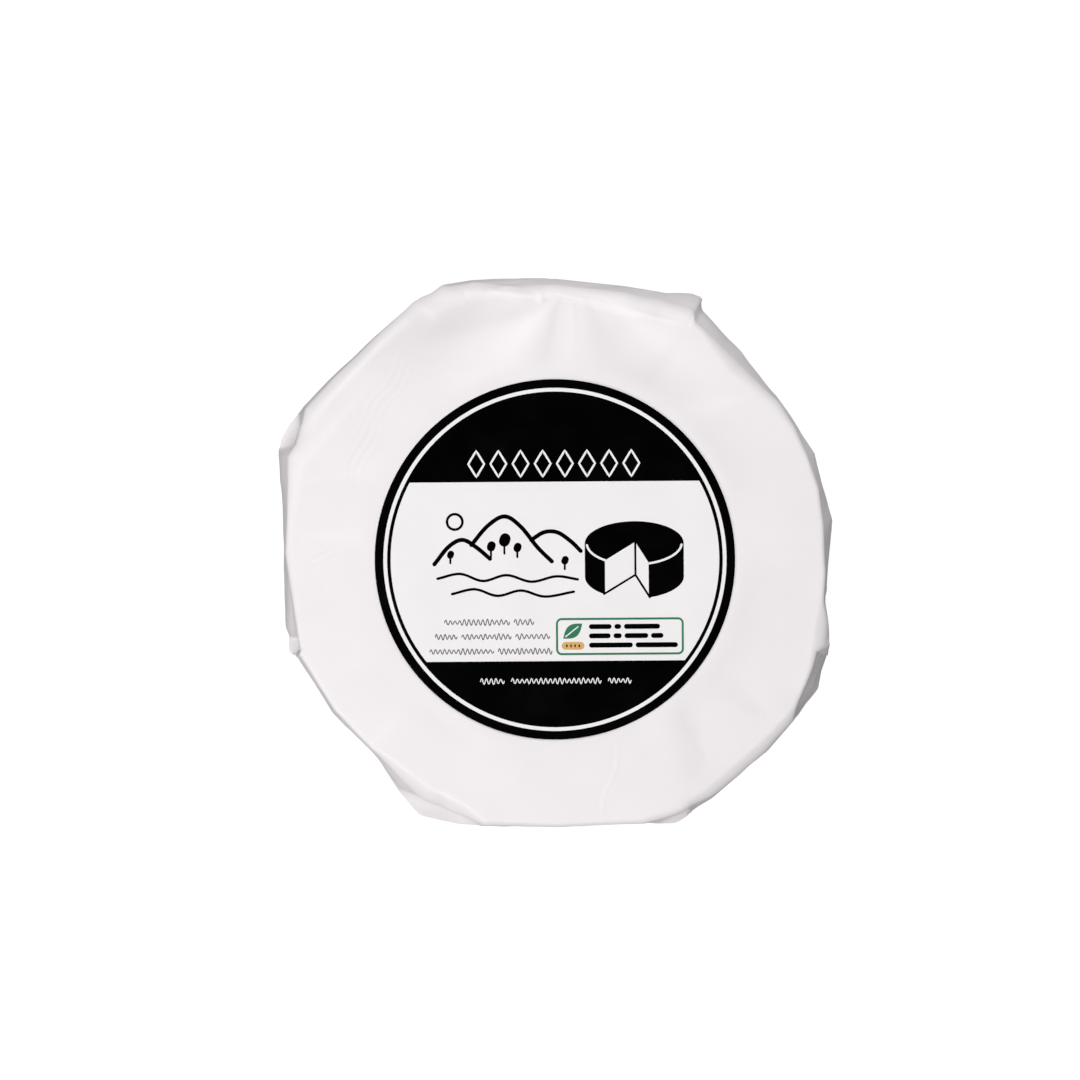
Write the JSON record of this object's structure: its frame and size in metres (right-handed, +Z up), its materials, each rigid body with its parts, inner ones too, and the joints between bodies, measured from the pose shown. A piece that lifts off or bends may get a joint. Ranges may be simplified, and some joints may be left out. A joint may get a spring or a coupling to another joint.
{
  "type": "paper-wrapped camembert cheese",
  "caption": "Low round camembert shut in folded white cheese paper, with gathered side folds, a pleated underside and a round printed label on top.",
  "frame": {"origin": "on the surface the pack rests on, under the middle of its outline", "axes": "+Z up through the label; +Y towards the top of the label's print; +X to the right of the print"},
  "size_m": [0.1086, 0.1086, 0.0252],
  "materials": {
    "wrap_paper": "satin",
    "label_black": "semi-gloss",
    "label_white": "satin",
    "label_green": "satin",
    "label_tan": "satin",
    "label_grey": "satin"
  },
  "bodies": {
    "root": {"wrapped_cheese": "wrap_paper", "label": "label_black"}
  },
  "joints": []
}
